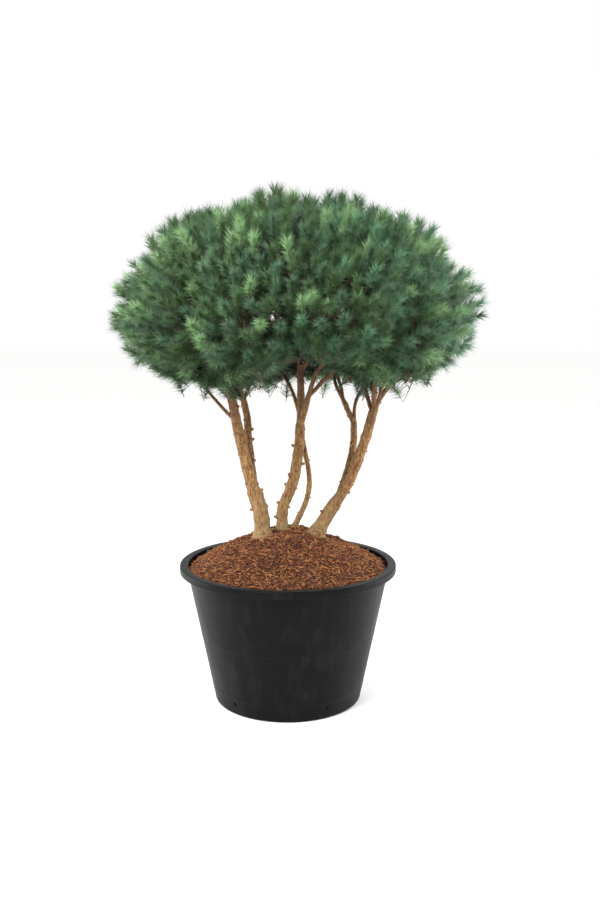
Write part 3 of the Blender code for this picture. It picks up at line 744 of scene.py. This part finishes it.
def add_knots(bm, path, radii, rng, spacing):
    """Stubs of shed side shoots, in twos and threes at each whorl."""
    frames = list(tube_frames(path))
    run = rng.uniform(0.3, 0.8) * spacing
    travelled = 0
    for i in range(1, len(path) - 1):
        travelled += (path[i] - path[i - 1]).length
        if travelled < run:
            continue
        run = travelled + spacing * rng.uniform(0.7, 1.35)
        for _ in range(rng.integers(1, 4)):
            angle = rng.uniform(0, 2 * math.pi)
            side, cross = frames[i]
            outward = side * math.cos(angle) + cross * math.sin(angle)
            size = min(radii[i] * rng.uniform(0.26, 0.42), 0.009)
            start = path[i] + outward * radii[i] * 0.6
            aim = (outward + UP * rng.uniform(0.1, 0.8)).normalized()
            reach = radii[i] * 0.4 + size * rng.uniform(0.5, 2.0)
            stub = [start, start + aim * reach * 0.5, start + aim * reach]
            add_tube(bm, stub, [size * 1.35, size, size * 0.75], 9)


class PINE_OT_stems(bpy.types.Operator):
    """Make every stem and bough with the relief of its bark"""
    bl_idname = "pine.stems"
    bl_label = "Stems and boughs"

    def execute(self, context):
        settings = context.scene.pine_bark
        surface = pine_bark(settings)
        masses = place_masses()
        grown = grow_limbs(masses, settings.step)
        for number, limb in enumerate(LIMBS):
            path, radii = grown[limb.name]
            rng = np.random.default_rng(SEED + number)
            stem = limb.name.startswith("stem")
            sides = settings.sides if stem else settings.sides // 2 + 3
            if not limb.parent:
                path = [path[0] - UP * FOOT_DEPTH, path[0] - UP * FOOT_DEPTH / 2] + path
                radii = [radii[0], radii[0]] + radii
            phase = rng.uniform(0, 2 * math.pi)
            whorl = rng.uniform(0.12, 0.17)

            def shape(place, index, angle):
                """Long plates, fine flakes, a ring at each whorl and lobes at the foot."""
                radius = radii[index]
                plate = noise.noise(Vector((place.x * 55, place.y * 55, place.z * 17)))
                flake = noise.noise(place * 170)
                depth = settings.relief * min(1, radius / 0.025)
                ring = math.exp(-(((place.z + phase) % whorl) / whorl - 0.5) ** 2 / 0.006)
                near = max(0, 1 - (place.z - path[0].z) / (FLARE_HEIGHT * 1.6)) if not limb.parent else 0
                lobes = 0.11 * near * math.sin(3 * angle + phase) * radius
                return depth * (1.2 * plate + 0.6 * flake) + 0.10 * radius * ring + lobes

            bm = bmesh.new()
            add_tube(bm, path, radii, sides, shape)
            add_knots(bm, path, radii, rng, 0.075 if stem else 0.06)
            made = mesh_from_bmesh(f"bark_{limb.name}", bm, surface)
            made.data.shade_smooth()
            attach(made, "root")
            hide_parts(limb.name)
        return {"FINISHED"}


def spaced(points, spacing):
    """Indices of points kept so that none is nearer to another than the spacing."""
    alive = np.ones(len(points), bool)
    kept = []
    for i in range(len(points)):
        if alive[i]:
            kept.append(i)
            alive[np.linalg.norm(points - points[i], axis=1) < spacing] = False
    return np.array(kept)


def lobes(spots, centres):
    """How far the crown is drawn in at each spot: most where two masses meet."""
    gaps = np.sort(np.linalg.norm(spots[:, None] - centres[None], axis=2), axis=1)
    return 1 - LOBE_DEPTH * (1 - np.clip((gaps[:, 1] - gaps[:, 0]) / LOBE_WIDTH, 0, 1)) ** 1.5


def grow_shoots(centres, rng):
    """Feet, tips and age of every shoot in the crown, in layers under the outline."""
    feet, tips, ages = [], [], []
    middle = np.array((CROWN_X, 0.0, CROWN_WIDEST))
    for layer in LAYERS:
        aims = rng.normal(size=(26000, 3))
        aims /= np.linalg.norm(aims, axis=1, keepdims=True)
        level = layer.level * rng.uniform(0.965, 1.02, len(aims))
        outline = middle + aims / fullness(middle + aims)[:, None]
        level *= lobes(outline, centres)
        depth = (CROWN_WIDEST - outline[:, 2]) / (CROWN_WIDEST - CROWN_UNDERSIDE)
        level *= 1 - LOW_INSET * np.clip(depth, 0, 1)
        spots = middle + aims * (level / fullness(middle + aims))[:, None]
        hollow = np.linalg.norm((spots - HOLLOW_CENTRE) / HOLLOW_RADII, axis=1) < 1
        spots = spots[~hollow]
        spots = spots[spaced(spots, layer.spacing)]
        ways = outline_normals(spots)
        ways[:, 2] = np.maximum(ways[:, 2], -0.25) + 0.34
        ways += rng.normal(scale=0.2, size=ways.shape)
        ways /= np.linalg.norm(ways, axis=1, keepdims=True)
        length = rng.uniform(layer.shortest, layer.longest, len(spots))
        feet.append(spots - ways * length[:, None])
        tips.append(spots)
        ages.append(np.where(rng.random(len(spots)) < layer.old, 1, 0))
    return np.concatenate(feet), np.concatenate(tips), np.concatenate(ages)


def side_vectors(ways):
    """Two vectors square to each direction."""
    other = np.where(np.abs(ways[:, 2:3]) < 0.9, np.array((0, 0, 1.0)), np.array((1.0, 0, 0)))
    side = np.cross(ways, other)
    side /= np.linalg.norm(side, axis=1, keepdims=True)
    return side, np.cross(ways, side)


def needle_arrays(feet, tips, ages, settings, rng):
    """Points, triangles and shoot number of the needles that stand round each shoot."""
    axis = tips - feet
    length = np.linalg.norm(axis, axis=1)
    axis /= length[:, None]
    longest = LAYERS[0].longest
    counts = (settings.needles * length / longest * (1 - OLD_SHED * ages)).astype(int)
    shoot = np.repeat(np.arange(len(feet)), counts)
    total = len(shoot)
    along = 1 - rng.random(total) ** 1.35 * 0.86
    lean = np.radians(70 - 40 * along ** 2 + rng.normal(scale=10, size=total))
    turn = rng.uniform(0, 2 * np.pi, total)
    ways = axis[shoot]
    side, cross = side_vectors(ways)
    round_about = side * np.cos(turn)[:, None] + cross * np.sin(turn)[:, None]
    aim = ways * np.cos(lean)[:, None] + round_about * np.sin(lean)[:, None]
    aim[:, 2] += 0.06
    aim /= np.linalg.norm(aim, axis=1, keepdims=True)
    reach = settings.length * rng.uniform(0.78, 1.12, total) * (0.72 + 0.28 * along)
    start = feet[shoot] + ways * (along * length[shoot])[:, None] + round_about * 0.002
    left, right = side_vectors(aim)
    half = settings.width / 2 * (1 + OLD_WIDENING * ages[shoot])[:, None]
    corners = [start + (left * math.cos(a) + right * math.sin(a)) * half for a in
               (0, 2 * math.pi / 3, 4 * math.pi / 3)]
    points = np.stack(corners + [start + aim * reach[:, None]], axis=1).reshape(-1, 3)
    first = 4 * np.arange(total)[:, None, None]
    shape = np.array(((0, 1, 3), (1, 2, 3), (2, 0, 3)))
    return points, (first + shape).reshape(-1, 3), np.repeat(shoot, 3)


def twig_paths(start, centre, feet, tips, branches, rng):
    """Paths and end radii of a mass's branches, then of a twig from the nearest branch to each shoot."""
    picks = [int(np.argmax(np.linalg.norm(feet - centre, axis=1)))]
    while len(picks) < min(branches, len(feet)):
        gaps = np.min(np.linalg.norm(feet[:, None] - feet[picks][None], axis=2), axis=1)
        picks.append(int(np.argmax(gaps)))
    paths, nodes = [], []
    for pick in picks:
        end = centre + (feet[pick] - centre) * 0.82
        t = np.linspace(0, 1, 9)[:, None]
        bend = (start + end) / 4 + centre / 2
        path = start * (1 - t) ** 2 + 2 * bend * t * (1 - t) + end * t ** 2
        path[1:-1] += rng.normal(scale=0.004, size=(7, 3))
        paths.append((path, 0.0055, 0.0034))
        nodes.append(path[3:])
    nodes = np.concatenate(nodes)
    for foot, tip in zip(feet, tips):
        near = nodes[np.argmin(np.linalg.norm(nodes - foot, axis=1))]
        t = np.linspace(0, 1, 4)[:, None]
        bend = (near + foot) * 0.4 + centre * 0.2
        run = near * (1 - t) ** 2 + 2 * bend * t * (1 - t) + foot * t ** 2
        path = np.concatenate((run, [(foot + tip) / 2], [tip]))
        paths.append((path, 0.0032, 0.0016))
    return paths


def tube_arrays(paths):
    """Points and triangles of many closed, tapering, three-sided twigs."""
    points, faces, base, sides = [], [], 0, 3
    corner = 2 * np.pi * np.arange(sides) / sides
    over = np.cos(corner)[None, :, None]
    up = np.sin(corner)[None, :, None]
    for path, thick, thin in paths:
        ways = np.gradient(path, axis=0)
        ways /= np.maximum(np.linalg.norm(ways, axis=1, keepdims=True), 1e-9)
        side, cross = side_vectors(ways)
        radius = np.linspace(thick, thin, len(path))[:, None, None]
        ring = side[:, None] * over + cross[:, None] * up
        points.append((path[:, None] + ring * radius).reshape(-1, 3))
        row = base + sides * np.arange(len(path) - 1)[:, None]
        here = row + np.arange(sides)[None]
        there = row + (np.arange(sides)[None] + 1) % sides
        quads = np.stack((here, there, there + sides, here + sides), axis=2).reshape(-1, 4)
        faces += [quads[:, :3], quads[:, (0, 2, 3)]]
        top = base + sides * (len(path) - 1)
        faces.append(np.array(((base + 2, base + 1, base), (top, top + 1, top + 2))))
        base += sides * len(path)
    return np.concatenate(points), np.concatenate(faces)


def needle_materials():
    """Needle skins with a waxy bloom: plain colours that are dealt out by shoot."""
    # Old needles: their own darker green, deepened further as painted shade inside the crown
    kinds = (("needles blue", "497350"), ("needles grey green", "355636"), ("needles green", "2F4E23"),
             ("needles pale tips", "6B8F5C"), ("needles old", "13240F"))
    made = []
    for name, colour in kinds:
        surface, _, shader = blank_material(name, 0.5, colour)
        shader.inputs["Specular IOR Level"].default_value = 0.45
        made.append(surface)
    return made


class PINE_OT_foliage(bpy.types.Operator):
    """Grow the twigs and needles of every mass"""
    bl_idname = "pine.foliage"
    bl_label = "Foliage"

    def execute(self, context):
        settings = context.scene.pine_needles
        masses = place_masses()
        grown = grow_limbs(masses, 0.1)
        bearer = {limb.mass: np.array(grown[limb.name][0][-1]) for limb in LIMBS}
        centres = np.array([mass.centre for mass in masses])
        rng = np.random.default_rng(SEED)
        feet, tips, ages = grow_shoots(centres, rng)
        home = np.argmin(np.linalg.norm(tips[:, None] - centres[None], axis=2), axis=1)
        # The left of the crown is greener and darker, the right bluer and lighter: partly a change of tint,
        # partly painted light on the right side
        lean = np.clip((tips[:, 0] - CROWN_X) / CROWN_RADIUS_X, -1, 1)
        roll = rng.random(len(tips))
        green = roll < 0.38 - 0.30 * lean
        pale = roll > 0.82
        grey = (roll > 0.45) & ~pale
        # Old shoots take the darkest needles: partly their age, partly painted shade inside the crown
        tint = np.where(ages == 1, 4, np.where(green, 2, np.where(pale, 3, np.where(grey, 1, 0))))
        skins = needle_materials()
        shoot_bark, _, _ = blank_material("young shoot bark", 0.75, "5E4429")
        for index, mass in enumerate(masses):
            mine = home == index
            points, faces, shoot = needle_arrays(feet[mine], tips[mine], ages[mine], settings, rng)
            needles = mesh_from_arrays(f"needles_{mass.name}", points, faces, skins, tint[mine][shoot])
            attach(needles, "root")
            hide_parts(f"foliage_{mass.name}")
            paths = twig_paths(bearer[mass.name], centres[index], feet[mine], tips[mine],
                               settings.branches, rng)
            twigs = mesh_from_arrays(f"twigs_{mass.name}", *tube_arrays(paths), [shoot_bark], smooth=True)
            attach(twigs, "root")
        return {"FINISHED"}


class PINE_OT_stage(bpy.types.Operator):
    """Set up the pale floor, the studio light and the camera"""
    bl_idname = "pine.stage"
    bl_label = "Stage"

    def execute(self, context):
        settings = context.scene.pine_stage
        scene = context.scene
        surface, _, _ = blank_material("pale floor", 0.9, settings.floor)
        bm = bmesh.new()
        bmesh.ops.create_grid(bm, x_segments=1, y_segments=1, size=30)
        bm.transform(Matrix.Translation((0, 0, -0.001)))
        floor = mesh_from_bmesh("floor", bm, surface)
        world = bpy.data.worlds.new("white studio")
        world.use_nodes = True
        back = world.node_tree.nodes["Background"].inputs
        back["Color"].default_value = (1, 1, 1, 1)
        back["Strength"].default_value = 1.0
        scene.world = world
        scene.view_settings.view_transform = "Standard"
        # Name, place, size in metres, power in watts
        lamps = (("key", (-2.4, -4.2, 5.6), 1.5, 420), ("fill", (3.6, -4.0, 4.2), 2.6, 90),
                 ("side left", (-4.0, 0.6, 1.2), 1.6, 110), ("side right", (4.0, 0.6, 1.2), 1.6, 110),
                 ("back", (0.6, 4.2, 4.6), 3.0, 60))
        for name, place, size, power in lamps:
            light = bpy.data.lights.new(name, "AREA")
            light.size = size
            light.energy = power
            lamp = bpy.data.objects.new(name, light)
            lamp.location = place
            lamp.rotation_euler = (Vector((0, 0, 1.5)) - Vector(place)).to_track_quat("-Z", "Y").to_euler()
            scene.collection.objects.link(lamp)
        camera = bpy.data.cameras.new("camera")
        camera.lens = settings.lens
        camera.sensor_width = 36
        camera.shift_y = -0.187
        eye = bpy.data.objects.new("camera", camera)
        eye.location = (0.068, -settings.distance, settings.height)
        eye.rotation_euler = (math.pi / 2, 0, 0)
        scene.collection.objects.link(eye)
        scene.camera = eye
        return {"FINISHED"}


STEPS = (PINE_OT_stage, PINE_OT_container, PINE_OT_heap, PINE_OT_shreds, PINE_OT_stems, PINE_OT_foliage)


class PINE_PT_panel(bpy.types.Panel):
    """The pine's pieces, in the order in which they are made"""
    bl_label = "Scots pine"
    bl_idname = "PINE_PT_panel"
    bl_space_type = "VIEW_3D"
    bl_region_type = "UI"
    bl_category = "Pine"

    def draw(self, context):
        for step in STEPS:
            self.layout.operator(step.bl_idname)


GROUPS = {"pine_container": PineContainerSettings, "pine_bark": PineBarkSettings,
          "pine_heap": PineHeapSettings, "pine_needles": PineNeedleSettings,
          "pine_stage": PineStageSettings}


def register():
    for group in GROUPS.values():
        bpy.utils.register_class(group)
    for step in (*STEPS, PINE_PT_panel):
        bpy.utils.register_class(step)
    for name, group in GROUPS.items():
        setattr(bpy.types.Scene, name, PointerProperty(type=group))


def unregister():
    for name in GROUPS:
        delattr(bpy.types.Scene, name)
    for step in (PINE_PT_panel, *STEPS):
        bpy.utils.unregister_class(step)
    for group in GROUPS.values():
        bpy.utils.unregister_class(group)


def main():
    register()
    bpy.ops.pine.stage()
    bpy.ops.pine.container()
    bpy.ops.pine.heap()
    bpy.ops.pine.shreds()
    bpy.ops.pine.stems()
    bpy.ops.pine.foliage()


if __name__ == "__main__":
    main()
